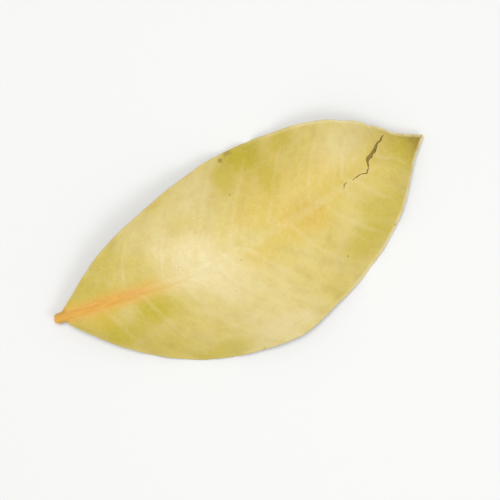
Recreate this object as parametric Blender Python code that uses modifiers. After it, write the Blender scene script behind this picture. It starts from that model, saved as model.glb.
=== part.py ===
"""A dried bay leaf lying on a table, upper side up: one closed solid, as it grew.

The leaf is a thin blade that is arched along its length and droops from the midrib to two wavy
margins, with a short broken stalk that runs on under the blade as a raised midrib. Near the tip a
split runs in from the left margin towards the midrib.

+X runs from the stalk to the tip, +Y to the leaf's left and +Z up. The origin is the bottom centre
of the leaf's box, so the leaf rests on z = 0 on the low points of its margins.
Everything below is in millimetres until it is written into a mesh.
"""

import math

import bmesh
import bpy
import numpy as np
from mathutils import Vector

MM = 0.001

# The blade and its midrib
BLADE_THICKNESS = 0.36
BLADE_ROWS = 48
BLADE_COLUMNS = 16
ROW_CROWDING = 0.55  # 0 spaces the rows evenly, 1 crowds them most towards the stalk and the tip
DROOP_POWER = 1.5  # how late a half of the blade turns down on its way to the margin
SWELL = 0.7  # how far each half of the blade bulges up beside the midrib
SWELL_HALF_WIDTH = 12.0  # where a half of the blade is narrower than this, it bulges less
RIB_PROUD = 0.1  # how far the midrib stands above the upper side
RIB_END = 62.0  # the midrib thins out just before the tip

# The split near the tip, in from the left margin, and how wide it gapes
SPLIT_PATH = ((60.4, 3.0), (58.5, 1.8), (56.8, 0.7), (56.0, -0.1))
SPLIT_WIDTHS = (0.16, 0.5, 0.42, 0.12)
SPLIT_CUTTER_DEPTH = 12.0

CAP_WELD = 0.001  # joins a curve's loose caps to its tube
SHARP_EDGE = math.radians(50)

# The leaf's lines, one row for each station. Each line gives its sideways place and its height.
# distance from the stalk's end, midrib (y, z), left margin (y, z), right margin (y, z)
STATIONS = (
    (0.0, (0.0, 2.1), (0.5, 2.1), (-0.5, 2.1)),
    (1.5, (-0.2, 2.5), (0.8, 2.5), (-1.4, 2.4)),
    (3.0, (-0.4, 2.9), (1.6, 2.8), (-3.2, 2.4)),
    (6.0, (-0.8, 3.7), (3.5, 3.3), (-6.8, 2.2)),
    (12.0, (-1.7, 5.1), (6.6, 4.0), (-12.4, 0.8)),
    (19.0, (-2.8, 6.3), (8.9, 4.2), (-16.6, 0.2)),
    (27.0, (-3.3, 6.8), (10.9, 3.2), (-19.1, 1.3)),
    (35.0, (-3.0, 6.6), (12.0, 1.0), (-19.8, 2.3)),
    (41.0, (-2.6, 6.1), (11.8, 0.3), (-18.3, 1.7)),
    (48.0, (-2.0, 5.5), (10.9, 2.0), (-15.8, 0.3)),
    (54.0, (-1.3, 4.7), (8.9, 3.2), (-12.5, 0.4)),
    (59.0, (-0.7, 3.6), (5.9, 2.7), (-8.2, 1.5)),
    (63.0, (-0.3, 2.3), (2.1, 1.7), (-3.2, 1.7)),
    (66.0, (0.1, 1.2), (0.4, 1.1), (-0.4, 1.1)),
)
# The midrib's radius, thickest at the swollen, broken end of the stalk
RIB_RADII = (
    (0.0, 0.92),
    (1.6, 0.74),
    (6.0, 0.66),
    (20.0, 0.52),
    (40.0, 0.36),
    (56.0, 0.24),
    (66.0, 0.16),
)

LEAF_GREEN = (0.55, 0.45, 0.16, 1.0)


def curve_through(places, values, at):
    """The value at a place, on a smooth curve through the given values."""
    slopes = np.gradient(values, places)
    i = int(np.clip(np.searchsorted(places, at) - 1, 0, len(places) - 2))
    span = places[i + 1] - places[i]
    u = (at - places[i]) / span
    return (
        values[i] * (1 + 2 * u) * (1 - u) ** 2
        + values[i + 1] * (3 - 2 * u) * u**2
        + span * (slopes[i] * u * (1 - u) ** 2 - slopes[i + 1] * u**2 * (1 - u))
    )


def leaf_line(number, x):
    """(y, z) at distance x on one of the leaf's lines: 1 the midrib, 2 the left margin, 3 the right."""
    places = [station[0] for station in STATIONS]
    return [
        curve_through(places, [station[number][axis] for station in STATIONS], x)
        for axis in (0, 1)
    ]


def blade_point(x, across):
    """A point on the blade's middle surface. across is 0 on the midrib, 1 and -1 on the margins."""
    rib_y, rib_z = leaf_line(1, x)
    margin_y, margin_z = leaf_line(2 if across > 0 else 3, x)
    share = abs(across)
    half_width = abs(margin_y - rib_y)
    swell = SWELL * math.sin(math.pi * share) * min(1.0, half_width / SWELL_HALF_WIDTH)
    return Vector(
        (
            x,
            rib_y + (margin_y - rib_y) * share,
            rib_z + (margin_z - rib_z) * share**DROOP_POWER + swell,
        )
    )


def row_place(share):
    """Rows lie closer together near the stalk and the tip, where the outline turns most."""
    length = STATIONS[-1][0] - STATIONS[1][0]
    eased = 0.5 - 0.5 * math.cos(math.pi * share)
    return STATIONS[1][0] + length * ((1 - ROW_CROWDING) * share + ROW_CROWDING * eased)


def linked(name, data, collection):
    made = bpy.data.objects.new(name, data)
    collection.objects.link(made)
    return made


def make_blade(collection):
    """A flat grid, moved onto the leaf's lines and thickened."""
    bm = bmesh.new()
    bmesh.ops.create_grid(bm, x_segments=BLADE_ROWS, y_segments=BLADE_COLUMNS, size=1.0)
    for vertex in bm.verts:
        x = row_place((vertex.co.x + 1) / 2)
        vertex.co = blade_point(x, vertex.co.y) * MM
    bmesh.ops.recalc_face_normals(bm, faces=bm.faces)
    mesh = bpy.data.meshes.new("bay_leaf")
    bm.to_mesh(mesh)
    bm.free()
    blade = linked("bay_leaf", mesh, collection)
    shell = blade.modifiers.new("thickness", "SOLIDIFY")
    shell.thickness = BLADE_THICKNESS * MM
    shell.offset = 0.0
    shell.use_even_offset = True
    return blade


def solid_from_curve(curve_object, collection):
    """A closed mesh in place of a curve, so that a Boolean can use it."""
    graph = bpy.context.evaluated_depsgraph_get()
    mesh = bpy.data.meshes.new_from_object(curve_object.evaluated_get(graph))
    bm = bmesh.new()
    bm.from_mesh(mesh)
    bmesh.ops.remove_doubles(bm, verts=bm.verts, dist=CAP_WELD * MM)
    bmesh.ops.recalc_face_normals(bm, faces=bm.faces)
    bm.to_mesh(mesh)
    bm.free()
    solid = linked(curve_object.name + "_solid", mesh, collection)
    solid.matrix_world = curve_object.matrix_world.copy()
    solid.hide_render = True
    solid.display_type = "WIRE"
    bpy.data.objects.remove(curve_object)
    return solid


def make_rib(collection):
    """The stalk and midrib: one tapering tube whose top stays just proud of the blade.

    Its points stand at the blade's own rows, so the facets of the two run side by side.
    """
    curve = bpy.data.curves.new("rib", "CURVE")
    curve.dimensions = "3D"
    curve.bevel_depth = MM
    curve.bevel_resolution = 3
    curve.use_fill_caps = True
    places = [0.0, STATIONS[1][0] / 2]
    places += [row_place(row / BLADE_ROWS) for row in range(BLADE_ROWS)]
    places = [x for x in places if x <= RIB_END]
    spline = curve.splines.new("POLY")
    spline.points.add(len(places) - 1)
    for point, x in zip(spline.points, places):
        radius = curve_through(*zip(*RIB_RADII), x)
        centre = blade_point(x, 0.0)
        centre.z += BLADE_THICKNESS / 2 + RIB_PROUD - radius
        point.co = (*(centre * MM), 1.0)
        point.radius = radius
    return solid_from_curve(linked("rib", curve, collection), collection)


def make_split(collection):
    """The gap of the split: a slender outline that is widest near its middle, cut right through."""
    path = [Vector(place) for place in SPLIT_PATH]
    left, right = [], []
    for i, (place, width) in enumerate(zip(path, SPLIT_WIDTHS)):
        along = path[min(i + 1, len(path) - 1)] - path[max(i - 1, 0)]
        sideways = Vector((-along.y, along.x)).normalized() * width / 2
        left.append(place + sideways)
        right.append(place - sideways)
    outline = left + right[::-1]
    curve = bpy.data.curves.new("split", "CURVE")
    curve.dimensions = "2D"
    curve.fill_mode = "BOTH"
    curve.extrude = SPLIT_CUTTER_DEPTH / 2 * MM
    spline = curve.splines.new("POLY")
    spline.points.add(len(outline) - 1)
    spline.use_cyclic_u = True
    for point, corner in zip(spline.points, outline):
        point.co = (corner.x * MM, corner.y * MM, 0.0, 1.0)
    return solid_from_curve(linked("split", curve, collection), collection)


def join(leaf, other, operation):
    step = leaf.modifiers.new(other.name, "BOOLEAN")
    step.operation = operation
    step.object = other


def rest_on_origin(objects, leaf):
    """Moves everything so that the leaf's box stands on the origin by its bottom centre."""
    bpy.context.view_layer.update()
    graph = bpy.context.evaluated_depsgraph_get()
    corners = np.array([corner[:] for corner in leaf.evaluated_get(graph).bound_box])
    low, high = corners.min(axis=0), corners.max(axis=0)
    shift = Vector((-(low[0] + high[0]) / 2, -(low[1] + high[1]) / 2, -low[2]))
    for moved in objects:
        moved.location = shift


def leaf_material():
    """Dry olive-green leaf with a faint satin shine."""
    material = bpy.data.materials.new("dried_leaf")
    material.use_nodes = True
    shader = material.node_tree.nodes["Principled BSDF"]
    shader.inputs["Base Color"].default_value = LEAF_GREEN
    shader.inputs["Roughness"].default_value = 0.55
    shader.inputs["Metallic"].default_value = 0.0
    material.diffuse_color = LEAF_GREEN
    return material


def main():
    for old in list(bpy.data.objects):
        bpy.data.objects.remove(old)
    leaf_collection = bpy.data.collections.new("dried_bay_leaf")
    cutter_collection = bpy.data.collections.new("cutters")
    bpy.context.scene.collection.children.link(leaf_collection)
    bpy.context.scene.collection.children.link(cutter_collection)
    leaf = make_blade(leaf_collection)
    rib = make_rib(cutter_collection)
    split = make_split(cutter_collection)
    join(leaf, rib, "UNION")
    join(leaf, split, "DIFFERENCE")
    leaf.data.materials.append(leaf_material())
    leaf.data.shade_smooth()
    leaf.data.set_sharp_from_angle(angle=SHARP_EDGE)
    rest_on_origin((leaf, rib, split), leaf)


main()
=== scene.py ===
# %% [markdown]
# # A dried bay leaf
#
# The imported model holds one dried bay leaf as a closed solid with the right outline, arch and
# thickness, but flat facets and no veins. That solid is our measure, and this lesson builds a
# finer leaf exactly where it lies.
#
# On the real leaf almost everything we see is relief on a sheet a quarter of a millimetre thick:
# the midrib, some eight pairs of side veins, a net of small veins and a wavy margin. So we first
# make a dense mesh with the true relief, then three dry finishes: upper side, underside and torn
# brown tissue.

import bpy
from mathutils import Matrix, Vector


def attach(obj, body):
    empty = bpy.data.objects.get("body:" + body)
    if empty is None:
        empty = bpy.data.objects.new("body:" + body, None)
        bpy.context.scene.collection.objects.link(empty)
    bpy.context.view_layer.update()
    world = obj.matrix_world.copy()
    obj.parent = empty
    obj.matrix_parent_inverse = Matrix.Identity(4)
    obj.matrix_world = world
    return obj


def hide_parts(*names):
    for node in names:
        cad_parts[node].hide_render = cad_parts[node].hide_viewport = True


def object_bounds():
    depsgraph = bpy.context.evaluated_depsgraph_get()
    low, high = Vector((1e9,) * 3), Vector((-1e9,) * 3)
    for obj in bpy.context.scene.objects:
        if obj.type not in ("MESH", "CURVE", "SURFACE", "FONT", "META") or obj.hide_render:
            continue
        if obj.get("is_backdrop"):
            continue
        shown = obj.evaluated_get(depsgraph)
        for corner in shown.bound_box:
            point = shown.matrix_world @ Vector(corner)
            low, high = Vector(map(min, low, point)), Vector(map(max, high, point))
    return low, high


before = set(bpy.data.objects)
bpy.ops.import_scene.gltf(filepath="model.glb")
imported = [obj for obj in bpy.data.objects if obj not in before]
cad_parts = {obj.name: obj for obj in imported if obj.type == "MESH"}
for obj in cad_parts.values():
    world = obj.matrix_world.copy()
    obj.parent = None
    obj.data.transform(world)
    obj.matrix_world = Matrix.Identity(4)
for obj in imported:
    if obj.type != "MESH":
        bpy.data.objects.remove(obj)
cad_low, cad_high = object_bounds()
print("box of the plain leaf, mm:", [round(1000 * s, 1) for s in cad_high - cad_low])

# %% [markdown]
# ## Units and small tools
#
# We work in millimetres, with the end of the stalk at x = 0 and the tip at x = 66, and change to
# Blender's metres once, near the end. Two helpers come up everywhere: a smooth step from 0 to 1,
# and a smooth curve through a few values. Both take whole arrays, because a Python loop over the
# mesh's 95,000 points would be slow.

# %% Smooth helpers
import math

import bmesh
import bpy
import numpy as np
from mathutils import Vector

MM = 0.001


def step_up(value, start, end):
    """0 below start, 1 above end, and smooth in between."""
    share = np.clip((value - start) / (end - start), 0.0, 1.0)
    return share * share * (3 - 2 * share)


def mix(first, second, share):
    return first + (second - first) * share


def curve_through(places, values, at):
    """A smooth curve through (places, values), read at every place in an array."""
    places, values = np.array(places, float), np.array(values, float)
    slopes = np.gradient(values, places)
    at = np.clip(at, places[0], places[-1])
    i = np.clip(np.searchsorted(places, at) - 1, 0, len(places) - 2)
    span = places[i + 1] - places[i]
    u = (at - places[i]) / span
    return (
        values[i] * (1 + 2 * u) * (1 - u) ** 2
        + values[i + 1] * (3 - 2 * u) * u**2
        + span * (slopes[i] * u * (1 - u) ** 2 - slopes[i + 1] * u**2 * (1 - u))
    )


print("a step from 2 to 6:", step_up(np.arange(2, 7), 2, 6).round(2))

# %% [markdown]
# Nature is never quite even, so one more helper gives soft hills and hollows. It blends between
# random heights on a square net, drawn from a seed, so the leaf grows the same way every time.

# %% Soft noise
NOISE_NET = 96


def hills(x, y, size, seed):
    """Soft noise from -1 to 1. Hills and hollows are about size millimetres across."""
    heights = np.random.default_rng(seed).uniform(-1, 1, (NOISE_NET, NOISE_NET))
    across, along = y / size + NOISE_NET / 2, x / size
    row, column = np.floor(across).astype(int), np.floor(along).astype(int)
    v, u = step_up(across - row, 0, 1), step_up(along - column, 0, 1)
    row, column = row % NOISE_NET, column % NOISE_NET
    next_row, next_column = (row + 1) % NOISE_NET, (column + 1) % NOISE_NET
    near = mix(heights[row, column], heights[row, next_column], u)
    far = mix(heights[next_row, column], heights[next_row, next_column], u)
    return mix(near, far, v)


print("hills 5 mm across:", hills(np.arange(0, 12, 2), np.zeros(6), 5, seed=1).round(2))

# %% [markdown]
# ## The lines of the leaf
#
# Three lines hold the whole form: the midrib and the two margins. We know where each one passes at
# fourteen stations between stalk and tip, the same as in the plain solid, and a smooth curve joins
# them. A leaf's halves are never equal: this one is wider on its right, and its midrib bows that
# way too.

# %% Stations from stalk to tip
# distance from the stalk's end, midrib (y, z), left margin (y, z), right margin (y, z)
STATIONS = (
    (0.0, (0.0, 2.1), (0.5, 2.1), (-0.5, 2.1)),
    (1.5, (-0.2, 2.5), (0.8, 2.5), (-1.4, 2.4)),
    (3.0, (-0.4, 2.9), (1.6, 2.8), (-3.2, 2.4)),
    (6.0, (-0.8, 3.7), (3.5, 3.3), (-6.8, 2.2)),
    (12.0, (-1.7, 5.1), (6.6, 4.0), (-12.4, 0.8)),
    (19.0, (-2.8, 6.3), (8.9, 4.2), (-16.6, 0.2)),
    (27.0, (-3.3, 6.8), (10.9, 3.2), (-19.1, 1.3)),
    (35.0, (-3.0, 6.6), (12.0, 1.0), (-19.8, 2.3)),
    (41.0, (-2.6, 6.1), (11.8, 0.3), (-18.3, 1.7)),
    (48.0, (-2.0, 5.5), (10.9, 2.0), (-15.8, 0.3)),
    (54.0, (-1.3, 4.7), (8.9, 3.2), (-12.5, 0.4)),
    (59.0, (-0.7, 3.6), (5.9, 2.7), (-8.2, 1.5)),
    (63.0, (-0.3, 2.3), (2.1, 1.7), (-3.2, 1.7)),
    (66.0, (0.1, 1.2), (0.4, 1.1), (-0.4, 1.1)),
)
MIDRIB, LEFT, RIGHT = 1, 2, 3
LENGTH = STATIONS[-1][0]
# radii of the stalk, which runs on under the blade as the midrib
RIB_PLACES = (0.0, 1.6, 6.0, 20.0, 40.0, 56.0, 66.0)
RIB_RADII = (0.92, 0.74, 0.66, 0.52, 0.36, 0.24, 0.16)


def leaf_line(which, x):
    """Sideways place and height of the midrib or a margin at distance x."""
    places = [station[0] for station in STATIONS]
    return [curve_through(places, [s[which][axis] for s in STATIONS], x) for axis in (0, 1)]


def rib_radius(x):
    return curve_through(RIB_PLACES, RIB_RADII, x)


print("width halfway along, mm:", round(float(leaf_line(LEFT, 33)[0] - leaf_line(RIGHT, 33)[0]), 1))

# %% [markdown]
# ## The margin
#
# Bay has a thin, hard margin that ripples as the leaf dries. The ripples are about 5 mm apart,
# stronger in some stretches than in others, and die out a few millimetres inwards. The outline is
# a little uneven, and on the left, just before the tip, crumbs have broken out of it. Each gap
# starts with a sudden step and runs out gently, because the tissue tears along a vein.

# %% Outline and ripples
# where a crumb is missing, how deep the step is, and how far on it runs out
CHIPS = ((54.7, 0.22, 2.2), (58.3, 0.5, 2.2), (61.0, 0.24, 1.6))
CHIP_STEP = 0.6
UNEVEN = 0.06
RIPPLE_LENGTH = 5.3
RIPPLE_HEIGHT = 0.24


def half_widths(x):
    """How far the blade, or the bare stalk, reaches to the left and to the right of the midrib."""
    rib_y = leaf_line(MIDRIB, x)[0]
    bare = rib_radius(x)
    reaches = []
    for which in (LEFT, RIGHT):
        reach = np.abs(leaf_line(which, x)[0] - rib_y)
        uneven = hills(x, which * 20.0, 0.9, seed=3) + hills(x, which * 20.0, 2.3, seed=4)
        reach = reach + UNEVEN * uneven * step_up(reach, 1.0, 4.0)
        if which == LEFT:
            for place, depth, run in CHIPS:
                missing = np.clip((place + CHIP_STEP + run - x) / run, 0, 1)
                reach = reach - depth * missing * step_up(x, place, place + CHIP_STEP)
        reaches.append((reach**4 + bare**4) ** 0.25)
    return reaches


def ripple(x, share, left):
    """The short waves of the margin. share runs from 0 at the midrib to 1 at the margin."""
    wobble = 1.6 * hills(x, 0 * x, 7.0, seed=5)
    wave = np.sin(2 * math.pi * x / RIPPLE_LENGTH + wobble + np.where(left, 0.6, 2.9))
    strength = 1 + 0.7 * hills(x, np.where(left, 0.0, 30.0), 8.0, seed=14)
    fade = step_up(share, 0.55, 1.0) ** 1.6 * step_up(x, 6.0, 14.0) * (1 - step_up(x, 56, 63))
    return RIPPLE_HEIGHT * strength * wave * fade


print("reach at x = 33, mm:", [round(float(r), 1) for r in half_widths(33.0)])

# %% [markdown]
# ## The side veins
#
# Each side vein leaves the midrib at a slant and bends towards the tip. To find how far a point is
# from a vein, we slide it back along such a curve to the midrib and look where it lands. That
# place, counted in vein spacings, is its vein count: whole numbers are veins, halves the middles
# of the panels between. The veins of the two sides don't meet at the midrib, so the left count is
# shifted, and their distances differ, so the count wanders.

# %% Vein count
VEIN_SPACING = 6.8
VEIN_SLANT = 0.38
VEIN_BEND = 0.02
LEFT_SHIFT = 0.4
STRAIGHT_ACROSS = 0.8  # straight across a slanting vein is shorter than along the midrib


def vein_count(x, aside):
    """aside is the distance from the midrib, positive to the left."""
    reach = np.abs(aside)
    wander = 1.3 * hills(x, aside, 11.0, seed=6) + 0.2 * hills(x, aside, 3.0, seed=7)
    shift = LEFT_SHIFT * step_up(aside, -1.0, 1.5)
    back = x - VEIN_SLANT * reach - VEIN_BEND * reach**2 + wander
    return back / VEIN_SPACING + shift


def near_vein(count, width):
    """1 on a side vein, 0 at width millimetres from it."""
    off = np.abs(count - np.round(count)) * VEIN_SPACING * STRAIGHT_ACROSS
    return 1 - step_up(off, 0.0, width)


print("side veins on the left:", int(np.ptp(vein_count(np.array([4.0, 60.0]), np.array([1.5, 1.5])))))

# %% [markdown]
# ## The mesh
#
# The leaf is one skin all round, like a soft tube whose rows run round it and whose columns run
# from stalk to tip. At the stalk a row is a small circle. Further on it is pulled out wide and
# flat, over the upper side, round one margin, back along the underside and round the other, so
# there is no seam between stalk and blade. A flat sheet with a Solidify modifier and a tube joined
# on would be quicker, but leaves a hard crease where the two meet, and a square margin.

# %% Rows and columns
ROWS = 292
HALF = 78  # columns from the midrib to a margin, on one face
STALK_RINGS = 7  # rings that close the broken end of the stalk
TIP_RINGS = 4
END_CROWDING = 0.35

ends = 0.5 - 0.5 * np.cos(np.pi * np.linspace(0, 1, ROWS))
body_rows = LENGTH * mix(np.linspace(0, 1, ROWS), ends, END_CROWDING)
stalk_scale = np.sin(np.linspace(0, np.pi / 2, STALK_RINGS, endpoint=False))
tip_scale = np.cos(np.linspace(0, np.pi / 2, TIP_RINGS + 1))[1:]
row_x = np.concatenate([np.zeros(STALK_RINGS), body_rows, np.full(TIP_RINGS, LENGTH)])
row_scale = np.concatenate([stalk_scale, np.ones(ROWS), tip_scale])
column = np.arange(4 * HALF)
turn = column / HALF  # 0 to 2 over the upper side from right to left, 2 to 4 back underneath
on_top = column < 2 * HALF
signed = np.where(on_top, turn - 1, 3 - turn)  # -1 right margin, 0 midrib, 1 left margin
print(len(row_x), "rows of", len(column), "columns")

# %% [markdown]
# Now the sheet through the middle of the blade. It follows the midrib and the margins, turns down
# late on its way outwards, and swells a little beside the midrib. Dry leaves also cockle: low
# hills nearly a centimetre across, and a bulge in each panel between two side veins.

# %% The middle sheet
DROOP_POWER = 1.5
SWELL = 0.7
SWELL_HALF_WIDTH = 12.0
HILL_HEIGHT = 0.2
PANEL_BULGE = 0.09


def sheet_height(x, share, left, reach):
    """Height of the middle sheet at a share of the way from the midrib to a margin."""
    rib_z = leaf_line(MIDRIB, x)[1]
    margin_z = np.where(left, leaf_line(LEFT, x)[1], leaf_line(RIGHT, x)[1])
    swell = SWELL * np.sin(np.pi * share) * np.minimum(1.0, reach / SWELL_HALF_WIDTH)
    aside = np.where(left, 1, -1) * share * reach
    broad = step_up(reach, 2.0, 7.0)
    cockle = HILL_HEIGHT * hills(x, aside, 8.0, seed=8) * step_up(share, 0.0, 0.4)
    count = vein_count(x, aside)
    panel = 0.5 - 0.5 * np.cos(2 * np.pi * count)
    bulge = PANEL_BULGE * panel * step_up(share, 0.05, 0.3) * (1 - step_up(share, 0.7, 1.0))
    flat = rib_z + (margin_z - rib_z) * share**DROOP_POWER
    return flat + swell + broad * (cockle + bulge) + ripple(x, share, left)


heights = sheet_height(33.0, np.linspace(0, 1, 5), False, 17.0)
print("heights over the right half at x = 33:", heights.round(1))

# %% [markdown]
# Each row is a cross-section: the round stalk where there is no blade yet, and a thin sheet with a
# rounded margin where there is. Within a few millimetres the one grows into the other. Columns
# crowd together beside the midrib and the margin, where the relief is finest, and the last four
# round off the margin itself.

# %% Columns across the leaf
RIM_COLUMNS = 4
RIM_RADIUS = 0.115
CROWDING = 1.5


def shares_along(u, blade, rim_share):
    """Where the columns lie between midrib (0) and margin (1)."""
    last = 1 - RIM_COLUMNS / HALF
    inner = np.minimum(u / last, 1)
    inner = mix(inner**CROWDING, 1 - (1 - inner) ** CROWDING, inner) * (1 - rim_share)
    around_rim = np.clip((u - last) / (1 - last), 0, 1) * np.pi / 2
    flat = np.where(u <= last, inner, 1 - rim_share * (1 - np.sin(around_rim)))
    return mix(np.sin(u * np.pi / 2), flat, blade)


x = row_x[:, None]
left = (signed > 0)[None, :]
side = np.where(left, 1.0, -1.0)
left_reach, right_reach = half_widths(x)
reach = np.where(left, left_reach, right_reach)
radius = rib_radius(x)
blade = step_up(reach / radius, 1.05, 2.4)  # 0 on the bare stalk, 1 where the blade is open
rim = mix(reach, RIM_RADIUS, blade)
share = shares_along(np.abs(signed)[None, :], blade, rim / reach)
distance = share * reach
print("widest half of the blade, mm:", round(float(reach.max()), 2))

# %% [markdown]
# Next comes the thickness above and below the sheet. The upper side of a bay leaf is nearly
# smooth. Underneath, the midrib stands out like a cord and the side veins can be felt with a nail,
# so the relief is higher there. A thin, hard cord runs along the margin on both faces.

# %% Thickness of the leaf
BLADE_HALF = 0.135  # half the thickness of the blade
RIB_TOP = 0.28  # the top of the midrib above the middle sheet, at the stalk
RIB_TOP_LOSS = 0.75  # the share of that ridge which is lost on the way to the tip
TOP_RIDGE = 1.15  # half-width of the ridge on the upper side, in rib radii
UNDER_RIDGE = 1.35
TOP_VEIN = 0.045
UNDER_VEIN = 0.06
VEIN_HALF_WIDTH = 0.42
MARGIN_CORD = 0.03
CORD_HALF_WIDTH = 0.22


def ridge(distance, half_width):
    """A rounded ridge with soft feet: 1 on its crest and 0 from half_width outwards."""
    q = np.clip(distance / half_width, 0, 1)
    return (1 - q * q) ** 1.4


rounded_rim = np.sqrt(1 - np.clip((distance - (reach - rim)) / rim, 0, 1) ** 2)
round_stalk = radius * np.sqrt(1 - np.clip(distance / radius, 0, 1) ** 2)
stalk_centre = RIB_TOP - radius
open_blade = step_up(reach, 3.0, 7.0)
veins = near_vein(vein_count(x, side * distance), VEIN_HALF_WIDTH) * open_blade
veins = veins * step_up(share, 0.03, 0.12) * (1 - step_up(share, 0.8, 0.97))
cord = MARGIN_CORD * open_blade * ridge(np.abs(reach - distance - CORD_HALF_WIDTH), CORD_HALF_WIDTH)
proud = (RIB_TOP - BLADE_HALF) * (1 - RIB_TOP_LOSS * step_up(x, 8, 36))
depth = np.maximum(2 * radius - RIB_TOP - BLADE_HALF, 0.05)
top = BLADE_HALF * rounded_rim + proud * ridge(distance, TOP_RIDGE * radius) + TOP_VEIN * veins + cord
under = BLADE_HALF * rounded_rim + depth * ridge(distance, UNDER_RIDGE * radius)
under = under + UNDER_VEIN * veins + cord
top = mix(stalk_centre + round_stalk, top, blade)
under = mix(stalk_centre - round_stalk, -under, blade)
offset = np.where(on_top[None, :], top, under)
print("thickest place, mm:", round(float((top - under).max()), 2))

# %% [markdown]
# The thickness is laid on at right angles to the sheet, so the blade is as thick on its steep
# parts as on its flat ones. That takes the sheet's slope across the leaf: its rise over a very
# short step.

# %% Points of the net
SHORT = 0.004

rise = sheet_height(x, share + SHORT, left, reach)
rise = rise - sheet_height(x, np.maximum(share - SHORT, 0), left, reach)
run = np.minimum(2 * SHORT, SHORT + share) * reach * side
slope = rise / run * blade * step_up(distance, 0.0, 1.5)
lean = 1 / np.sqrt(1 + slope**2)
y = leaf_line(MIDRIB, x)[0] + side * distance - slope * lean * offset
z = sheet_height(x, share, left, reach) + lean * offset
print("steepest slope across the leaf:", round(float(np.abs(slope).max()), 2))

# %% [markdown]
# The stalk has shrunk round its fibres, so its skin is wrinkled lengthwise, and its end is a rough
# break. The end rings shrink to a point, and random heights push them out. The rim of the break is
# drawn back unevenly, because the outer fibres let go first. The tip closes in the same way, but
# round.

# %% Wrinkled stalk, broken end and tip
STALK_WRINKLE = 0.08
BREAK_ROUGHNESS = 0.45
BREAK_LENGTH = 0.5
TIP_ROUNDING = 0.3

centre_y, centre_z = y.mean(axis=1, keepdims=True), z.mean(axis=1, keepdims=True)
around = 12 * np.sin(column / len(column) * 2 * np.pi)[None, :]
wrinkle = hills(x, around, 3.5, seed=9) * (1 - step_up(x, 2.5, 9.0))
size = row_scale[:, None] * (1 + STALK_WRINKLE * wrinkle)
y = centre_y + (y - centre_y) * size
z = centre_z + (z - centre_z) * size
broken = BREAK_ROUGHNESS * (0.5 + 0.5 * hills(8 * y, 8 * z, 1.1, seed=10))
x = x + broken * (1 - row_scale[:, None] ** 6) * (row_x[:, None] < 1)
off_centre = np.abs((y - centre_y) / radius) ** 3 + 0.3 * hills(3 * y, 3 * z, 1.1, seed=15)
x = x + BREAK_LENGTH * off_centre * (1 - step_up(row_x[:, None], 0.0, 2.0))
x = x + TIP_ROUNDING * np.sqrt(1 - row_scale[:, None] ** 2) * (row_x[:, None] > LENGTH - 1)
net = np.stack(np.broadcast_arrays(x, y, z), axis=-1)
print("net of", net.shape[0] * net.shape[1], "points")

# %% [markdown]
# ## From net to mesh
#
# Every four neighbouring points make a face. np.roll brings the last column back to the first, so
# the net closes round the leaf.

# %% Build the mesh
UPPER, UNDERSIDE, TORN = 0, 1, 2


def four_corners(near, far):
    """Values at the four corners of each face, from those on its near and its far column."""
    return np.stack([near[:-1], near[1:], far[1:], far[:-1]], axis=-1)


def tube_faces(rows, columns):
    """The faces of a net closed round into a tube, each as four point numbers."""
    numbers = np.arange(rows * columns).reshape(rows, columns)
    return four_corners(numbers, np.roll(numbers, -1, axis=1))


faces = tube_faces(*net.shape[:2])
mesh = bpy.data.meshes.new("fine_bay_leaf")
mesh.from_pydata(net.reshape(-1, 3), [], faces.reshape(-1, 4))
face_kind = np.broadcast_to(np.where(on_top, UPPER, UNDERSIDE), faces.shape[:2]).copy()
face_kind[: STALK_RINGS - 1] = TORN
mesh.polygons.foreach_set("material_index", face_kind.ravel().astype(np.int32))
print(len(mesh.polygons), "faces")

# %% [markdown]
# The faces also carry a flat map, as if the skin were slit along both margins and pressed: the
# upper side in one half of the square and the underside in the other. Distances are measured along
# the surface, so even the rounded margin gets a strip.

# %% Press the skin flat
MAP_EDGE = 0.006


def pressed(v, low):
    """A half of the map: v, in mm from the midrib, fitted between low and low + 0.5."""
    return mix(low + MAP_EDGE, low + 0.5 - MAP_EDGE, (v - v.min()) / np.ptp(v))


steps = np.linalg.norm(np.roll(net, -1, axis=1) - net, axis=2)
walked = np.concatenate([np.zeros((len(net), 1)), np.cumsum(steps, axis=1)], axis=1)
upper_v = pressed(walked[:, : 2 * HALF + 1] - walked[:, HALF : HALF + 1], 0.0)
under_v = pressed(walked[:, 2 * HALF :] - walked[:, 3 * HALF : 3 * HALF + 1], 0.5)
along = row_x - RIB_RADII[0] * (1 - row_scale) * (row_x < 1)
along = along + TIP_ROUNDING * (1 - row_scale) * (row_x > LENGTH - 1)
along = mix(MAP_EDGE, 1 - MAP_EDGE, (along - along.min()) / np.ptp(along))

near_v = np.concatenate([upper_v[:, :-1], under_v[:, :-1]], axis=1)
far_v = np.concatenate([upper_v[:, 1:], under_v[:, 1:]], axis=1)
u = np.broadcast_to(along[:, None], near_v.shape)
uv = np.stack([four_corners(u, u), four_corners(near_v, far_v)], axis=-1)
flat_map = mesh.uv_layers.new(name="OFBake")
flat_map.uv.foreach_set("vector", uv.astype(np.float32).ravel())
print("width of the pressed skin, mm:", round(float(np.ptp(walked[:, 2 * HALF])), 1))

# %% [markdown]
# The first and the last row each lie in one point. Welding their points makes each row the centre
# of a fan and closes the skin. A weld over the whole mesh would also join neighbours in the thin
# strips beside the stalk.

# %% Weld the two ends
WELD = 0.0005


def add_to_scene(name, data):
    made = bpy.data.objects.new(name, data)
    bpy.context.scene.collection.objects.link(made)
    return made


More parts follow.
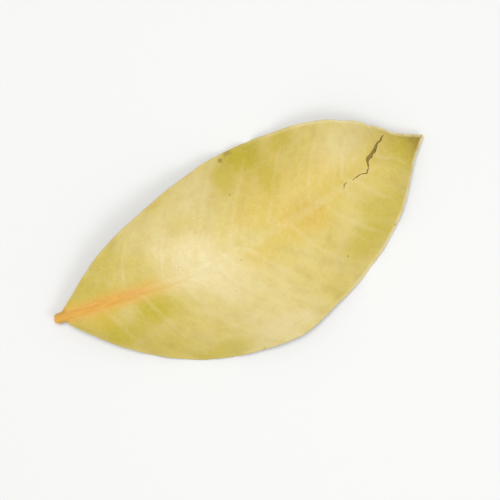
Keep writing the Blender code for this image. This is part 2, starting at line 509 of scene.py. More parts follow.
bm = bmesh.new()
bm.from_mesh(mesh)
bm.verts.ensure_lookup_table()
end_points = bm.verts[: len(column)] + bm.verts[-len(column) :]
bmesh.ops.remove_doubles(bm, verts=end_points, dist=WELD)
bmesh.ops.recalc_face_normals(bm, faces=bm.faces)
print("open edges:", sum(not edge.is_manifold for edge in bm.edges), "faces:", len(bm.faces))
bm.to_mesh(mesh)
bm.free()
leaf = add_to_scene("fine_bay_leaf", mesh)
for _ in (UPPER, UNDERSIDE, TORN):
    mesh.materials.append(None)

# %% [markdown]
# ## The tear
#
# Near the tip the dry blade has split. The split starts just inside the left margin, gapes by a
# third of a millimetre, and runs on as a hairline crack to the midrib and along it. A painted line
# would look right from above only, so we cut it with a Boolean modifier. A few points give its
# course, deep where it goes right through and shallow where it is only a crack.

# %% The course of the tear
# x, y, gape, and depth below the upper side
SPLIT = (
    (60.4, 3.0, 0.14, 0.9),
    (59.5, 2.4, 0.32, 0.9),
    (58.4, 1.75, 0.36, 0.9),
    (57.2, 0.95, 0.34, 0.9),
    (56.4, 0.4, 0.22, 0.9),
    (56.0, -0.2, 0.13, 0.16),
    (55.3, -1.3, 0.17, 0.14),
    (54.3, -1.1, 0.16, 0.13),
    (52.7, -1.5, 0.08, 0.10),
)
CRACK = ((51.6, -1.1, 0.06, 0.10), (51.1, -1.5, 0.11, 0.12), (50.7, -2.0, 0.06, 0.10))
print("depth of the split, mm:", SPLIT[0][3])

# %% [markdown]
# The cutting tool is a four-sided tube along a smooth curve through those points. Small random
# steps, measured from the curve so that the tube never folds over itself, make it ragged. Dry leaf
# tears at a slant, so the tube leans one way, and the torn edge of one side shows.

# %% Rings of the cutting tool
TEAR_STEP = 0.14
TEAR_WANDER = 0.06
TOOL_LEAN = 2.2  # sideways for each millimetre down
TOOL_ABOVE = 0.3


def surface_height(x, y):
    """Height of the upper side above a place."""
    aside = y - leaf_line(MIDRIB, x)[0]
    reach = np.where(aside > 0, *half_widths(x))
    return sheet_height(x, np.abs(aside) / reach, aside > 0, reach) + BLADE_HALF


def tear_rings(path):
    """The rings of four corners along a tear, in the shape (rings, 4, 3)."""
    x, y, gape, depth = np.array(path).T
    walked = np.concatenate([[0], np.cumsum(np.hypot(np.diff(x), np.diff(y)))])
    steps = np.linspace(0, walked[-1], round(walked[-1] / TEAR_STEP))
    x, y, gape, depth = [curve_through(walked, line, steps) for line in (x, y, gape, depth)]
    ahead = np.array([np.gradient(x), np.gradient(y)])
    across = np.array([-ahead[1], ahead[0]]) / np.hypot(*ahead)
    lean = np.array([y[0] - y[-1], x[-1] - x[0]]) / np.hypot(x[-1] - x[0], y[-1] - y[0])
    still = 0 * steps
    wander = TEAR_WANDER * (hills(steps, still, 1.0, seed=11) + hills(steps, still, 0.5, seed=12))
    gape = np.maximum(gape, 0.04) * (1 + 0.25 * hills(steps, still, 0.6, seed=13))
    surface = surface_height(x, y)
    corners = []
    for side, below in ((0.5, -TOOL_ABOVE), (0.5, depth), (-0.5, depth), (-0.5, -TOOL_ABOVE)):
        moved = across * (wander + side * gape) + TOOL_LEAN * lean[:, None] * below
        corners.append([x + moved[0], y + moved[1], surface - below])
    return np.array(corners).transpose(2, 0, 1)


print("rings along the split:", len(tear_rings(SPLIT)))

# %% [markdown]
# The rings become a closed mesh with a cap on each end. Its faces take their place on the flat map
# in a corner that the leaf leaves empty.

# %% Tools for the split and the crack
MAP_CORNER = (0.90, 0.99)
MAP_BAND = 0.01


def tear_tool(name, path, map_v):
    rings = tear_rings(path)
    quads = tube_faces(len(rings), 4).reshape(-1, 4)
    caps = [[0, 1, 2, 3], list(range(len(rings) * 4 - 4, len(rings) * 4))]
    tool_mesh = bpy.data.meshes.new(name)
    tool_mesh.from_pydata(rings.reshape(-1, 3), [], [*quads.tolist(), *caps])
    for _ in (UPPER, UNDERSIDE, TORN):
        tool_mesh.materials.append(None)
    for face in tool_mesh.polygons:
        face.material_index = TORN
    tool_map = tool_mesh.uv_layers.new(name="OFBake")
    for loop in tool_mesh.loops:
        ring, corner = divmod(loop.vertex_index, 4)
        place = mix(*MAP_CORNER, ring / (len(rings) - 1))
        tool_map.uv[loop.index].vector = (place, map_v + MAP_BAND * corner)
    bm = bmesh.new()
    bm.from_mesh(tool_mesh)
    bmesh.ops.triangulate(bm, faces=bm.faces)
    bmesh.ops.recalc_face_normals(bm, faces=bm.faces)
    bm.to_mesh(tool_mesh)
    bm.free()
    return add_to_scene(name, tool_mesh)


tools = [tear_tool("split_tool", SPLIT, 0.01), tear_tool("crack_tool", CRACK, 0.06)]
print("faces of the two tools:", [len(tool.data.polygons) for tool in tools])

# %% [markdown]
# The modifiers do the cutting, and the mesh that they make takes the place of the leaf's own. The
# faces of the cut keep the tool's material number.

# %% Cut the tear
for tool in tools:
    cut = leaf.modifiers.new(tool.name, "BOOLEAN")
    cut.operation = "DIFFERENCE"
    cut.material_mode = "INDEX"
    cut.object = tool
graph = bpy.context.evaluated_depsgraph_get()
torn_mesh = bpy.data.meshes.new_from_object(leaf.evaluated_get(graph))
leaf.modifiers.clear()
leaf.data = torn_mesh
for tool in tools:
    bpy.data.objects.remove(tool)
torn_faces = sum(face.material_index == TORN for face in torn_mesh.polygons)
print(len(torn_mesh.polygons), "faces,", torn_faces, "of them torn or broken")

# %% [markdown]
# ## Coordinates for the finishes
#
# The finishes must know where on the leaf they are: how far from the stalk, the midrib and the
# margin, and where among the side veins. We store that as attributes at every point. They blend
# evenly across each face, so a finish can draw lines much finer than the mesh.

# %% Store where each point lies on the leaf
def store(mesh, name, kind, values):
    attribute = mesh.attributes.new(name, kind, "POINT")
    field = "vector" if kind == "FLOAT_VECTOR" else "value"
    attribute.data.foreach_set(field, values.astype(np.float32).ravel())


points = np.empty(len(leaf.data.vertices) * 3)
leaf.data.vertices.foreach_get("co", points)
points = points.reshape(-1, 3)
point_x, point_y = points[:, 0], points[:, 1]
aside = point_y - leaf_line(MIDRIB, point_x)[0]
to_margin = np.where(aside > 0, *half_widths(point_x)) - np.abs(aside)
store(leaf.data, "leaf_place", "FLOAT_VECTOR", np.stack([point_x, aside, to_margin], axis=1))
store(leaf.data, "vein_count", "FLOAT", vein_count(point_x, aside))
print("furthest point from a margin, mm:", round(float(to_margin.max()), 1))

# %% [markdown]
# Now the leaf takes its real place and size. Its own box is fitted into the box of the plain
# solid, which lowers it by three parts in a hundred and hardly changes its outline. Edges that
# turn by more than 40 degrees are marked sharp: the rounded margin stays smooth and the tear
# crisp. Then the leaf replaces the plain solid on the model's one body.

# %% Lay the leaf where the plain one lies
SHARP_EDGE = math.radians(40)

low, high = points.min(axis=0), points.max(axis=0)
cad_size = np.array(cad_high - cad_low)
print("stretch in x, y, z:", np.round(cad_size / MM / (high - low), 3))
points = np.array(cad_low) + (points - low) * cad_size / (high - low)
leaf.data.vertices.foreach_set("co", points.ravel())
leaf.data.shade_smooth()
leaf.data.set_sharp_from_angle(angle=SHARP_EDGE)
leaf.data.update()

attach(leaf, "root")
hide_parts("bay_leaf")

# %% [markdown]
# ## Tools for finishes
#
# A material in Blender is a graph of nodes. Building one in Python takes many small steps, so a
# class wraps the graph, with one short method for each kind of node. A method adds its node, fills
# the sockets with plain values or links, and hands on what the node puts out.

# %% Nodes and links
NODE_GAP = 190


class Nodes:
    """The node tree of a material or a group, with a method for each kind of node."""

    def __init__(self, tree):
        self.tree = tree

    def link(self, value, socket):
        self.tree.links.new(value, socket)

    def add(self, kind, sockets, **settings):
        """A new node's outputs. A socket is linked if its value is another node's output."""
        made = self.tree.nodes.new(kind)
        made.location = (NODE_GAP * len(self.tree.nodes), 0)
        for name, value in settings.items():
            setattr(made, name, value)
        for name, value in sockets.items():
            if isinstance(value, bpy.types.NodeSocket):
                self.link(value, made.inputs[name])
            else:
                made.inputs[name].default_value = value
        return made.outputs

    def use(self, group, sockets):
        """Places a group, fills its named inputs, and hands on its named outputs."""
        return self.add("ShaderNodeGroup", sockets, node_tree=group)

    def math(self, operation, first, second=0.0, third=0.0):
        return self.add("ShaderNodeMath", {0: first, 1: second, 2: third}, operation=operation)[0]

    def times(self, first, second):
        return self.math("MULTIPLY", first, second)

    def plus(self, value, extra, share):
        """The value plus a share of the extra one."""
        return self.math("MULTIPLY_ADD", extra, share, value)

    def vector(self, operation, first, second=(0, 0, 0)):
        outputs = self.add("ShaderNodeVectorMath", {0: first, 1: second}, operation=operation)
        return outputs[1 if operation == "LENGTH" else 0]

    def scaled(self, vector, factor):
        return self.add("ShaderNodeVectorMath", {0: vector, 3: factor}, operation="SCALE")[0]

    def parts(self, vector):
        return self.add("ShaderNodeSeparateXYZ", {0: vector})


print("made the class", Nodes.__name__)

# %% [markdown]
# A finish is painted in layers. Cloudy noise that goes through a smooth step gives a mask of soft
# blotches, and a tint turns the colour towards another one where its mask is 1.

# %% Masks and tints
class Recipe(Nodes):
    """Nodes, with the methods that paint."""

    def step(self, value, start, end, low=0.0, high=1.0):
        """A smooth step from low to high while value goes from start to end."""
        sockets = {0: value, 1: start, 2: end, 3: low, 4: high}
        return self.add("ShaderNodeMapRange", sockets, interpolation_type="SMOOTHSTEP")[0]

    def cloud(self, place, size, detail=3.0, roughness=0.55):
        """Cloudy noise from 0 to 1 with blotches about size millimetres across."""
        sockets = {"Vector": place, "Scale": 1 / size, "Detail": detail, "Roughness": roughness}
        return self.add("ShaderNodeTexNoise", sockets)[0]

    def blotches(self, place, size, start, end, detail=5.0, roughness=0.55):
        """A mask of soft blotches. It rises from 0 to 1 where the noise goes from start to end."""
        return self.step(self.cloud(place, size, detail, roughness), start, end)

    def tint(self, colour, towards, mask, strength=1.0):
        """The colour, turned towards another one where the mask is 1, as far as strength says."""
        sockets = {0: self.times(mask, strength), 6: colour, 7: towards}
        return self.add("ShaderNodeMix", sockets, data_type="RGBA")[2]

    def layers(self, colour, *layers):
        """The colour under a stack of tints, each given as (towards, mask, strength)."""
        for layer in layers:
            colour = self.tint(colour, *layer)
        return colour


print("made the class", Recipe.__name__)

# %% [markdown]
# Effects that more than one finish needs become node groups. A group is built once, has named
# inputs and outputs like a node of its own, and is placed in each material with its own values.

# %% Helpers for node groups
VECTOR, VALUE = "NodeSocketVector", "NodeSocketFloat"


def new_group(name, vectors, values, results):
    """The recipe of an empty group, its inputs as seen from inside, and its outputs to fill."""
    tree = bpy.data.node_groups.new(name, "ShaderNodeTree")
    kinds = ((vectors, "INPUT", VECTOR), (values, "INPUT", VALUE), (results, "OUTPUT", VALUE))
    for sockets, direction, kind in kinds:
        for socket in sockets:
            tree.interface.new_socket(socket, in_out=direction, socket_type=kind)
    given = tree.nodes.new("NodeGroupInput").outputs
    return Recipe(tree), given, tree.nodes.new("NodeGroupOutput").inputs


def finished(group):
    print("group", group.tree.name, "has", len(group.tree.nodes), "nodes")
    return group.tree


print("kinds of socket:", VECTOR, VALUE)

# %% [markdown]
# ### Patches
#
# Drying never leaves one even colour. A soft patch is an ellipse whose border is broken up by
# cloudy noise. The noise is read from "Grain", coordinates that follow the side veins, so a patch
# frays along them, just as a leaf dries.

# %% Group: soft patch
group, given, result = new_group(
    "soft_patch", ("Place", "Grain", "Centre", "Size"), ("Ragged",), ("Mask",)
)
offset = group.vector("SUBTRACT", given["Place"], given["Centre"])
radius = group.vector("LENGTH", group.vector("DIVIDE", offset, given["Size"]))
cloudy = group.math("SUBTRACT", group.cloud(given["Grain"], 2.6, detail=5), 0.5)
ragged = group.plus(radius, cloudy, given["Ragged"])
group.link(group.step(ragged, 1.25, 0.35), result["Mask"])
soft_patch = finished(group)

# %% [markdown]
# ### The net of small veins
#
# Between the side veins lies a net of finer veins. The borders between Voronoi cells look much
# like it, once the coordinates are shifted a little so that they aren't straight. "Lines" are the
# veins, and "Pads" are the small cushions of tissue between them.

# %% Group: vein net
group, given, result = new_group("vein_net", ("Place",), ("Cell Size", "Line Share"), ("Lines", "Pads"))
place = group.scaled(given["Place"], group.math("DIVIDE", 1.0, given["Cell Size"]))
waver = group.add("ShaderNodeTexNoise", {"Vector": place, "Scale": 1.3, "Detail": 2.0})["Color"]
waver = group.scaled(group.vector("SUBTRACT", waver, (0.5, 0.5, 0.5)), 0.9)
sockets = {"Vector": group.vector("ADD", place, waver), "Scale": 1.0}
cells = group.add("ShaderNodeTexVoronoi", sockets, voronoi_dimensions="2D", feature="DISTANCE_TO_EDGE")
group.link(group.step(cells["Distance"], given["Line Share"], 0.0), result["Lines"])
group.link(group.step(cells["Distance"], 0.0, 0.3), result["Pads"])
vein_net = finished(group)

# %% [markdown]
# ### Side veins
#
# Their relief is already in the mesh, so the group only says where to colour them. They get
# thinner towards the margin and lose themselves in the net before they reach it, with a weaker
# vein about halfway between each pair. Parts of a vein lie deeper and hardly show.

# %% Group: side veins
group, given, result = new_group("side_veins", ("Place",), ("Vein Count", "Width"), ("Mask",))


def at_veins(counted, width):
    off = group.math("FRACT", group.math("ADD", counted, 0.5))
    off = group.math("ABSOLUTE", group.math("SUBTRACT", off, 0.5))
    return group.step(group.times(off, VEIN_SPACING * STRAIGHT_ACROSS), width, 0.0)


place, count = given["Place"], given["Vein Count"]
fade = group.step(group.parts(place)[2], 0.8, 5.0)
width = group.times(given["Width"], group.plus(0.4, fade, 0.6))
halfway = group.plus(count, group.cloud(place, 4.0), 0.7)
thin = group.times(at_veins(halfway, group.times(width, 0.6)), 0.4)
both = group.math("MAXIMUM", at_veins(count, width), thin)
seen = group.step(group.cloud(place, 3.0), 0.3, 0.65, 0.5, 1.0)
group.link(group.times(group.times(both, fade), seen), result["Mask"])
side_veins = finished(group)

# %% [markdown]
# ### Midrib
#
# The stalk dried to an orange brown, and the colour runs on along the midrib for a third of the
# leaf. "Rib" is a soft-edged band along the midrib, as wide at the stalk and at the tip as we ask,
# and "Orange" says how much of the stalk's colour is left.

# %% Group: midrib
group, given, result = new_group("midrib", ("Place",), ("At Stalk", "At Tip"), ("Rib", "Orange"))
place = given["Place"]
x, aside = group.parts(place)[:2]
sockets = {0: x, 1: 4.0, 2: LENGTH - 4, 3: given["At Stalk"], 4: given["At Tip"]}
width = group.add("ShaderNodeMapRange", sockets)[0]
waver = group.math("SUBTRACT", group.cloud(place, 1.4), 0.5)
off = group.math("ABSOLUTE", group.plus(aside, waver, 0.35))
group.link(group.step(off, width, group.times(width, 0.2)), result["Rib"])
drift = group.plus(x, group.cloud(place, 3.0), 8.0)
group.link(group.step(drift, 28.0, 15.5), result["Orange"])
midrib = finished(group)

# %% [markdown]
# ### Specks
#
# Old leaves carry a few pin-point brown specks. Voronoi again: we colour a dot round the points of
# a few cells, and every dot gets its own size.

# %% Group: specks
group, given, result = new_group("specks", ("Place",), ("Spacing", "Share"), ("Mask",))
sockets = {"Vector": given["Place"], "Scale": group.math("DIVIDE", 1.0, given["Spacing"])}
dots = group.add("ShaderNodeTexVoronoi", sockets, voronoi_dimensions="2D")
chance = group.add("ShaderNodeSeparateColor", {0: dots["Color"]})
chosen = group.math("LESS_THAN", chance[0], given["Share"])
size = group.plus(0.02, chance[1], 0.08)
dot = group.step(dots["Distance"], size, group.times(size, 0.3))
group.link(group.times(dot, chosen), result["Mask"])
specks = finished(group)

# %% [markdown]
# ## The upper side
#
# The dry leaf is olive near the stalk and straw yellow further on, with a pale bloom and a painted
# highlight over the middle of the arch, a green patch that never quite dried, and a dark tip. Most of
# these are colours of the leaf itself, but the painted highlight and the patches of painted shade stand
# in for light and shade.

# %% Colours
STRAW = (0.610, 0.488, 0.145, 1)
OLIVE = (0.500, 0.395, 0.045, 1)
GREEN = (0.440, 0.360, 0.010, 1)
# PALE is the pale tissue of veins and margin, and also the colour of the painted highlight
PALE = (0.670, 0.570, 0.300, 1)
YELLOW = (0.585, 0.402, 0.045, 1)
ORANGE = (0.670, 0.375, 0.060, 1)
RUST = (0.600, 0.300, 0.050, 1)
DARK = (0.215, 0.140, 0.012, 1)
BROWN = (0.170, 0.100, 0.020, 1)
print("straw, the main colour:", STRAW[:3])

# %% [markdown]
# Some forty patches are placed one by one: where the leaf stayed green or turned yellow, where it is
# paler with bloom and painted highlight, and where painted shade darkens it. Each has a place and a
# half-size, along the leaf and away from the midrib, a raggedness and a strength.

# %% Patches of colour
# place along and aside, half-size along and aside, raggedness, strength
GREEN_PATCHES = (
    (39.0, 13.4, 3.8, 3.4, 1.2, 0.85),
    (34.3, 10.8, 1.7, 2.8, 1.2, 0.5),
    (40.8, 8.0, 2.0, 4.0, 1.3, 0.5),
    (45.0, 12.0, 2.6, 1.8, 1.2, 0.4),
    (54.8, -6.2, 4.8, 4.0, 1.4, 0.55),
    (50.5, -9.5, 4.2, 2.8, 1.4, 0.5),
    (15.5, -3.0, 3.4, 2.8, 1.1, 0.7),
    (18.5, -4.0, 4.5, 2.4, 1.2, 0.3),
    (8.5, -5.6, 3.6, 2.6, 1.2, 0.6),
    (15.0, -9.5, 4.5, 2.5, 1.2, 0.15),
    (22.0, -13.8, 6.0, 2.0, 1.2, 0.5),
    (59.5, -2.2, 3.0, 2.6, 1.2, 0.15),
    (62.8, -0.4, 3.2, 3.0, 1.0, 0.6),
)
YELLOW_PATCHES = (
    (43.0, -0.6, 5.6, 3.8, 1.3, 0.95),
    (34.5, -2.0, 4.0, 2.8, 1.4, 0.4),
    (44.0, 3.5, 9.0, 5.5, 1.5, 0.5),
    (38.5, 11.0, 6.0, 3.5, 1.3, 0.3),
    (44.5, 12.5, 4.0, 2.5, 1.3, 0.3),
    (56.5, 1.5, 5.5, 4.0, 1.4, 0.15),
    (36.5, 5.5, 5.5, 3.4, 1.5, 0.4),
    (6.8, -2.4, 4.0, 2.4, 1.2, 0.6),
    (3.5, 1.2, 2.6, 1.6, 1.2, 0.4),
)
# Paler patches: partly the leaf's pale waxy bloom, partly a painted highlight standing in for the sheen
# over the top of the arch
BLOOM_AND_HIGHLIGHT_PATCHES = (
    (24.0, 1.0, 7.0, 7.0, 0.9, 0.7),
    (24.5, 0.8, 4.0, 4.2, 1.0, 0.65),
    (28.5, -4.5, 5.5, 6.0, 1.0, 0.7),
    (31.0, -12.5, 7.5, 4.5, 1.1, 0.5),
    (29.0, 10.5, 3.8, 5.0, 1.4, 0.5),
    (19.5, 8.6, 5.5, 3.8, 1.2, 0.35),
    (24.5, 10.5, 3.0, 2.6, 1.2, 0.3),
    (54.0, 6.0, 5.5, 4.5, 1.1, 0.5),
    (33.0, -14.6, 8.0, 2.4, 1.2, 0.7),
    (34.5, -8.0, 3.0, 3.0, 1.2, 0.3),
    (10.4, -2.8, 2.4, 2.0, 1.0, 0.18),
)
# Painted shade: patches tinted browner beside the split and in the middle of the blade
PAINTED_SHADE_PATCHES = (
    (43.8, 0.2, 3.8, 3.0, 1.3, 0.11),
    (59.5, 2.8, 3.6, 4.2, 1.2, 0.15),
    (55.0, 5.2, 3.0, 2.6, 1.2, 0.09),
    (59.5, -4.2, 2.8, 2.6, 1.2, 0.09),
)
DARK_SPOTS = ((35.2, 14.1, 0.42, 0.42, 1.5, 0.6), (36.7, 14.6, 0.75, 0.4, 1.5, 0.45))
print(len(GREEN_PATCHES + YELLOW_PATCHES + BLOOM_AND_HIGHLIGHT_PATCHES + PAINTED_SHADE_PATCHES), "patches of colour")

# %% [markdown]
# A finish is the recipe of a whole material. It starts by reading the stored coordinates. "flat"
# keeps the two that lie in the blade, so that a pattern isn't stretched by the third. "grain"
# counts across the side veins and runs along them at half the rate, which draws noise out along
# the veins. All finishes share one moderate shine.

# %% Start a finish
SHINE = 0.4
ALONG_GRAIN = 0.5


class Finish(Recipe):
    """The recipe of a material, with the leaf's coordinates to hand."""

    def __init__(self, name):
        self.material = bpy.data.materials.new(name)
        self.material.use_nodes = True
        super().__init__(self.material.node_tree)
        self.place = self.add("ShaderNodeAttribute", {}, attribute_name="leaf_place")["Vector"]
        self.count = self.add("ShaderNodeAttribute", {}, attribute_name="vein_count")["Fac"]
        self.flat = self.vector("MULTIPLY", self.place, (1, 1, 0))
        self.x, self.aside, self.to_margin = self.parts(self.place)
        across, along = self.times(self.count, VEIN_SPACING), self.times(self.aside, ALONG_GRAIN)
        self.grain = self.add("ShaderNodeCombineXYZ", {0: across, 1: along})[0]

    def add_patches(self, colour, towards, patches):
        for x, aside, length, width, ragged, strength in patches:
            sockets = {"Centre": (x, aside, 0), "Size": (length, width, 1), "Ragged": ragged}
            sockets.update({"Place": self.flat, "Grain": self.grain})
            colour = self.tint(colour, towards, self.use(soft_patch, sockets)["Mask"], strength)
        return colour

    def complete(self, colour, rough, height):
        """Links everything to the shader. height is in millimetres."""
        shader = self.tree.nodes["Principled BSDF"]
        shader.inputs["Specular IOR Level"].default_value = SHINE
        self.link(colour, shader.inputs["Base Color"])
        self.link(rough, shader.inputs["Roughness"])
        bump = self.add("ShaderNodeBump", {"Strength": 1.0, "Distance": MM, "Height": height})[0]
        self.link(bump, shader.inputs["Normal"])
        print("finish", self.material.name, "has", len(self.tree.nodes), "nodes")
        return self.material


print("specular level:", SHINE)

# %% [markdown]
# The blade is painted from large to small: the drift from olive to straw, dark mottles, some round and
# some drawn out along the veins, and a darker olive band of painted shade in the valley beside the
# midrib. The patches go over those, and the pale patches of bloom and painted highlight hide most of
# them.

# %% Colour of the blade
MOTTLE = 2.0

skin = Finish("upper_side")
flat = skin.flat
drift = skin.plus(skin.x, skin.cloud(flat, 7.0), 10.0)
# painted shade: a darker olive band along the valley beside the midrib
midrib_valley_shade = skin.use(midrib, {"Place": flat, "At Stalk": 4.0, "At Tip": 5.5})
small = skin.blotches(flat, MOTTLE, 0.4, 0.75, detail=6, roughness=0.65)
colour = skin.layers(
    STRAW,
    (OLIVE, skin.step(drift, 26.0, 12.0), 0.65),
    (OLIVE, skin.blotches(flat, 11.0, 0.38, 0.68, detail=4), 0.3),
    (DARK, skin.blotches(flat, MOTTLE, 0.43, 0.72), 0.20),
    (DARK, skin.blotches(skin.grain, MOTTLE, 0.43, 0.72), 0.14),
    (OLIVE, midrib_valley_shade["Rib"], 0.4),
)
# pale bloom and painted highlight over the top of the arch
colour = skin.add_patches(colour, PALE, BLOOM_AND_HIGHLIGHT_PATCHES)
colour = skin.tint(colour, PALE, skin.blotches(flat, 4.0, 0.42, 0.68), 0.25)
colour = skin.add_patches(colour, YELLOW, YELLOW_PATCHES)
colour = skin.add_patches(colour, GREEN, GREEN_PATCHES)
# painted shade beside the split and in the middle of the blade
colour = skin.add_patches(colour, BROWN, PAINTED_SHADE_PATCHES)
colour = skin.tint(colour, YELLOW, small, 0.3)
print("nodes for the blade:", len(skin.tree.nodes))

# %% [markdown]
# Over that come the vein net, the side veins, the dark tip, the pale cord of the margin, which comes
# and goes and towards the tip is also a painted highlight along the lit edge, the dark spots and the
# specks.

# %% Veins, tip, margin and spots
net = skin.use(vein_net, {"Place": flat, "Cell Size": 1.3, "Line Share": 0.1})
fine = skin.use(vein_net, {"Place": flat, "Cell Size": 0.5, "Line Share": 0.16})
veins = skin.use(side_veins, {"Place": skin.place, "Vein Count": skin.count, "Width": 0.6})
dots = skin.use(specks, {"Place": flat, "Spacing": 3.1, "Share": 0.12})
tip = skin.plus(skin.x, skin.cloud(flat, 1.6), 3.0)
# pale margin cord, partly real pale margin and partly painted highlight of the lit edge, stronger from
# x = 36 on
cord = skin.times(skin.step(skin.to_margin, 0.75, 0.2), skin.step(skin.x, 36.0, 50.0, 0.15, 1.2))
cord = skin.times(cord, skin.step(skin.cloud(flat, 2.5, detail=4), 0.3, 0.62, 0.15, 0.8))
colour = skin.layers(
    colour,
    (PALE, net["Lines"], 0.13),
    (OLIVE, fine["Pads"], 0.13),
    (PALE, veins["Mask"], 0.2),
    (DARK, skin.step(tip, 62.2, 68.0), 0.9),
    (PALE, cord),
)
colour = skin.add_patches(colour, DARK, DARK_SPOTS)
colour = skin.tint(colour, BROWN, dots["Mask"], 0.4)
print("nodes with veins and spots:", len(skin.tree.nodes))

# %% [markdown]
# Round the midrib lies an orange stain, strongest at the stalk. The rib itself has streaks of rust
# and orange, from noise read in coordinates that are squeezed along the leaf.

# %% Colour of the midrib
stain = skin.use(midrib, {"Place": skin.place, "At Stalk": 2.4, "At Tip": 3.2})
rib = skin.use(midrib, {"Place": skin.place, "At Stalk": 1.55, "At Tip": 0.8})
squeezed = skin.vector("MULTIPLY", skin.place, (0.1, 1, 0))
streaks = skin.tint(RUST, ORANGE, skin.blotches(squeezed, 0.3, 0.35, 0.65, detail=3))
colour = skin.layers(
    colour,
    (ORANGE, skin.times(stain["Rib"], stain["Orange"]), 0.6),
    (PALE, skin.times(rib["Rib"], skin.step(skin.x, 62.0, 54.0)), 0.15),
    (streaks, skin.times(rib["Rib"], skin.times(rib["Orange"], rib["Orange"]))),
)
print("nodes with the midrib:", len(skin.tree.nodes))

# %% [markdown]
# The same masks lift or lower the surface in a Bump node, but only for parts finer than the mesh.
# A dry bay leaf has a faint wax shine, so its roughness stays between 0.40 and 0.59.

# %% Finish: upper side
rough = skin.step(skin.cloud(flat, 1.2, detail=6), 0.3, 0.75, 0.40, 0.54)
rough = skin.plus(rough, net["Lines"], 0.05)
height = skin.plus(skin.times(net["Pads"], -0.013), fine["Pads"], -0.005)
height = skin.plus(height, skin.cloud(flat, 0.35, detail=2), 0.008)
upper_side = skin.complete(colour, rough, height)

# %% [markdown]
# ## The underside
#
# Underneath, bay is paler and quite dull, and what hides on top stands out: the net is raised, the
# side veins are yellow and the midrib is a thick cord. The same groups make it, with other values.

# %% Finish: underside
DUSTY = (0.520, 0.455, 0.210, 1)

skin = Finish("underside")
flat = skin.flat
net = skin.use(vein_net, {"Place": flat, "Cell Size": 1.3, "Line Share": 0.13})
fine = skin.use(vein_net, {"Place": flat, "Cell Size": 0.5, "Line Share": 0.2})
veins = skin.use(side_veins, {"Place": skin.place, "Vein Count": skin.count, "Width": 0.5})
dots = skin.use(specks, {"Place": flat, "Spacing": 2.7, "Share": 0.16})
rib = skin.use(midrib, {"Place": skin.place, "At Stalk": 1.3, "At Tip": 0.4})
colour = skin.tint(DUSTY, OLIVE, skin.blotches(flat, 12.0, 0.35, 0.7, detail=4), 0.5)
colour = skin.layers(
    skin.add_patches(colour, GREEN, GREEN_PATCHES[1:4]),
    (STRAW, skin.blotches(flat, 2.6, 0.4, 0.75, detail=6, roughness=0.65), 0.35),
    (OLIVE, fine["Pads"], 0.3),
    (PALE, net["Lines"], 0.35),
    (STRAW, veins["Mask"], 0.7),
    (PALE, skin.times(skin.step(skin.to_margin, 0.5, 0.2), skin.cloud(flat, 5.0))),
    (BROWN, dots["Mask"], 0.5),
    (skin.tint(STRAW, ORANGE, rib["Orange"]), rib["Rib"]),
)
rough = skin.step(skin.cloud(flat, 1.2, detail=6), 0.3, 0.75, 0.58, 0.72)
height = skin.plus(skin.times(net["Lines"], 0.025), fine["Lines"], 0.01)
underside = skin.complete(colour, rough, height)

# %% [markdown]
# ## Torn tissue
#
# Where the leaf is torn or its stalk has snapped, we look at the cut ends of its fibres: dull, a little
# woolly, dark brown in the old split, partly the torn tissue's own brown and partly painted shade of
# the narrow gap, and lighter in the stalk, with dark pores.

# %% Finish: torn tissue
STALK_END = (0.420, 0.240, 0.060, 1)
# dark brown of the split's walls: the torn tissue's own brown and painted shade in the gap
SPLIT_BROWN_AND_SHADE = (0.250, 0.168, 0.030, 1)
FIBRE = 0.16
PORE = 0.4

skin = Finish("torn_tissue")
at_stalk = skin.step(skin.x, 10.0, 5.0)
where = skin.scaled(skin.add("ShaderNodeTexCoord", {})["Object"], 1 / MM)
fibres = skin.blotches(where, FIBRE, 0.42, 0.62, detail=2)
pores = skin.blotches(where, PORE, 0.36, 0.28, detail=1)
colour = skin.layers(
    SPLIT_BROWN_AND_SHADE,
    (STALK_END, at_stalk),
    (ORANGE, skin.times(fibres, at_stalk), 0.4),
    (BROWN, pores, 0.8),
)
rough = skin.step(fibres, 0.0, 1.0, 0.72, 0.85)
height = skin.plus(skin.times(fibres, 0.03), pores, -0.05)
torn_tissue = skin.complete(colour, rough, height)

# %% [markdown]
# Each face of the mesh already knows its number: 0 for the upper side, 1 for the underside and 2
# for torn tissue. The finishes fill the leaf's slots in that order.

# %% Put the finishes on
for number, material in ((UPPER, upper_side), (UNDERSIDE, underside), (TORN, torn_tissue)):
    leaf.data.materials[number] = material
print("finishes:", [material.name for material in leaf.data.materials])

# %% [markdown]
# ## Table, light and camera
#
# The leaf lies on a plain pale table. A broad soft lamp almost straight above it draws the satin
# sheen on the top of the arch. A smaller one from the side shows the relief and throws a soft
# shadow, and an even white surround fills in the rest.

# %% Table and surround
TABLE_SIZE = 1.6
TABLE_GREY = (0.74, 0.74, 0.73, 1)
SURROUND = 0.5

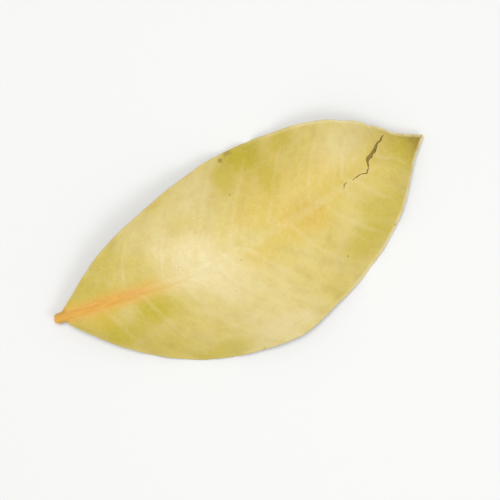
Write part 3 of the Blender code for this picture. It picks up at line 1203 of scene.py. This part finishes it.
bpy.ops.mesh.primitive_plane_add(size=TABLE_SIZE, location=(0, 0, cad_low.z))
table = bpy.context.object
table.name = "table"
table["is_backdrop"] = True
paint = bpy.data.materials.new("table_paint")
paint.use_nodes = True
shader = paint.node_tree.nodes["Principled BSDF"]
shader.inputs["Base Color"].default_value = TABLE_GREY
shader.inputs["Roughness"].default_value = 0.8
table.data.materials.append(paint)

world = bpy.data.worlds.new("studio")
world.use_nodes = True
background = world.node_tree.nodes["Background"]
background.inputs["Color"].default_value = (1, 1, 1, 1)
background.inputs["Strength"].default_value = SURROUND
bpy.context.scene.world = world
bpy.context.scene.view_settings.view_transform = "Standard"
print("the table lies at height", round(cad_low.z, 4))

# %% [markdown]
# The camera looks straight down, turned so that the leaf climbs to the right across the picture.
# The lamps are placed along the same two directions, right and up as the camera sees them.

# %% Camera
TURN = math.radians(26.65)
FRAME_WIDTH = 0.080
LENS = 120

image_right = Vector((math.cos(TURN), -math.sin(TURN), 0))
image_up = Vector((math.sin(TURN), math.cos(TURN), 0))
camera_data = bpy.data.cameras.new("camera")
camera_data.lens = LENS
camera = add_to_scene("camera", camera_data)
bpy.context.scene.camera = camera
height_above = FRAME_WIDTH * LENS / camera_data.sensor_width
camera.location = (cad_low + cad_high) / 2 + Vector((0, 0, height_above))
camera.rotation_euler = (0, 0, -TURN)
print("height of the camera, m:", round(height_above, 3))

# %% [markdown]
# A lamp's place is given in metres to the right, up and above. Each is a round, soft disk that
# faces the leaf.

# %% Lamps
def soft_lamp(name, right, up, height, size, power):
    data = bpy.data.lights.new(name, "AREA")
    data.shape, data.size, data.energy = "DISK", size, power
    lamp = add_to_scene(name, data)
    lamp.location = image_right * right + image_up * up + Vector((0, 0, height))
    lamp.rotation_euler = (-lamp.location).to_track_quat("-Z", "Y").to_euler()
    print(name, "hangs", round(lamp.location.length, 2), "m away")


soft_lamp("overhead_lamp", right=-0.03, up=0.07, height=0.55, size=0.25, power=1.97)
soft_lamp("side_lamp", right=0.18, up=-0.18, height=0.35, size=0.22, power=0.4)

low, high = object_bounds()
print("box of the finished leaf, mm:", [round(1000 * s, 2) for s in high - low])
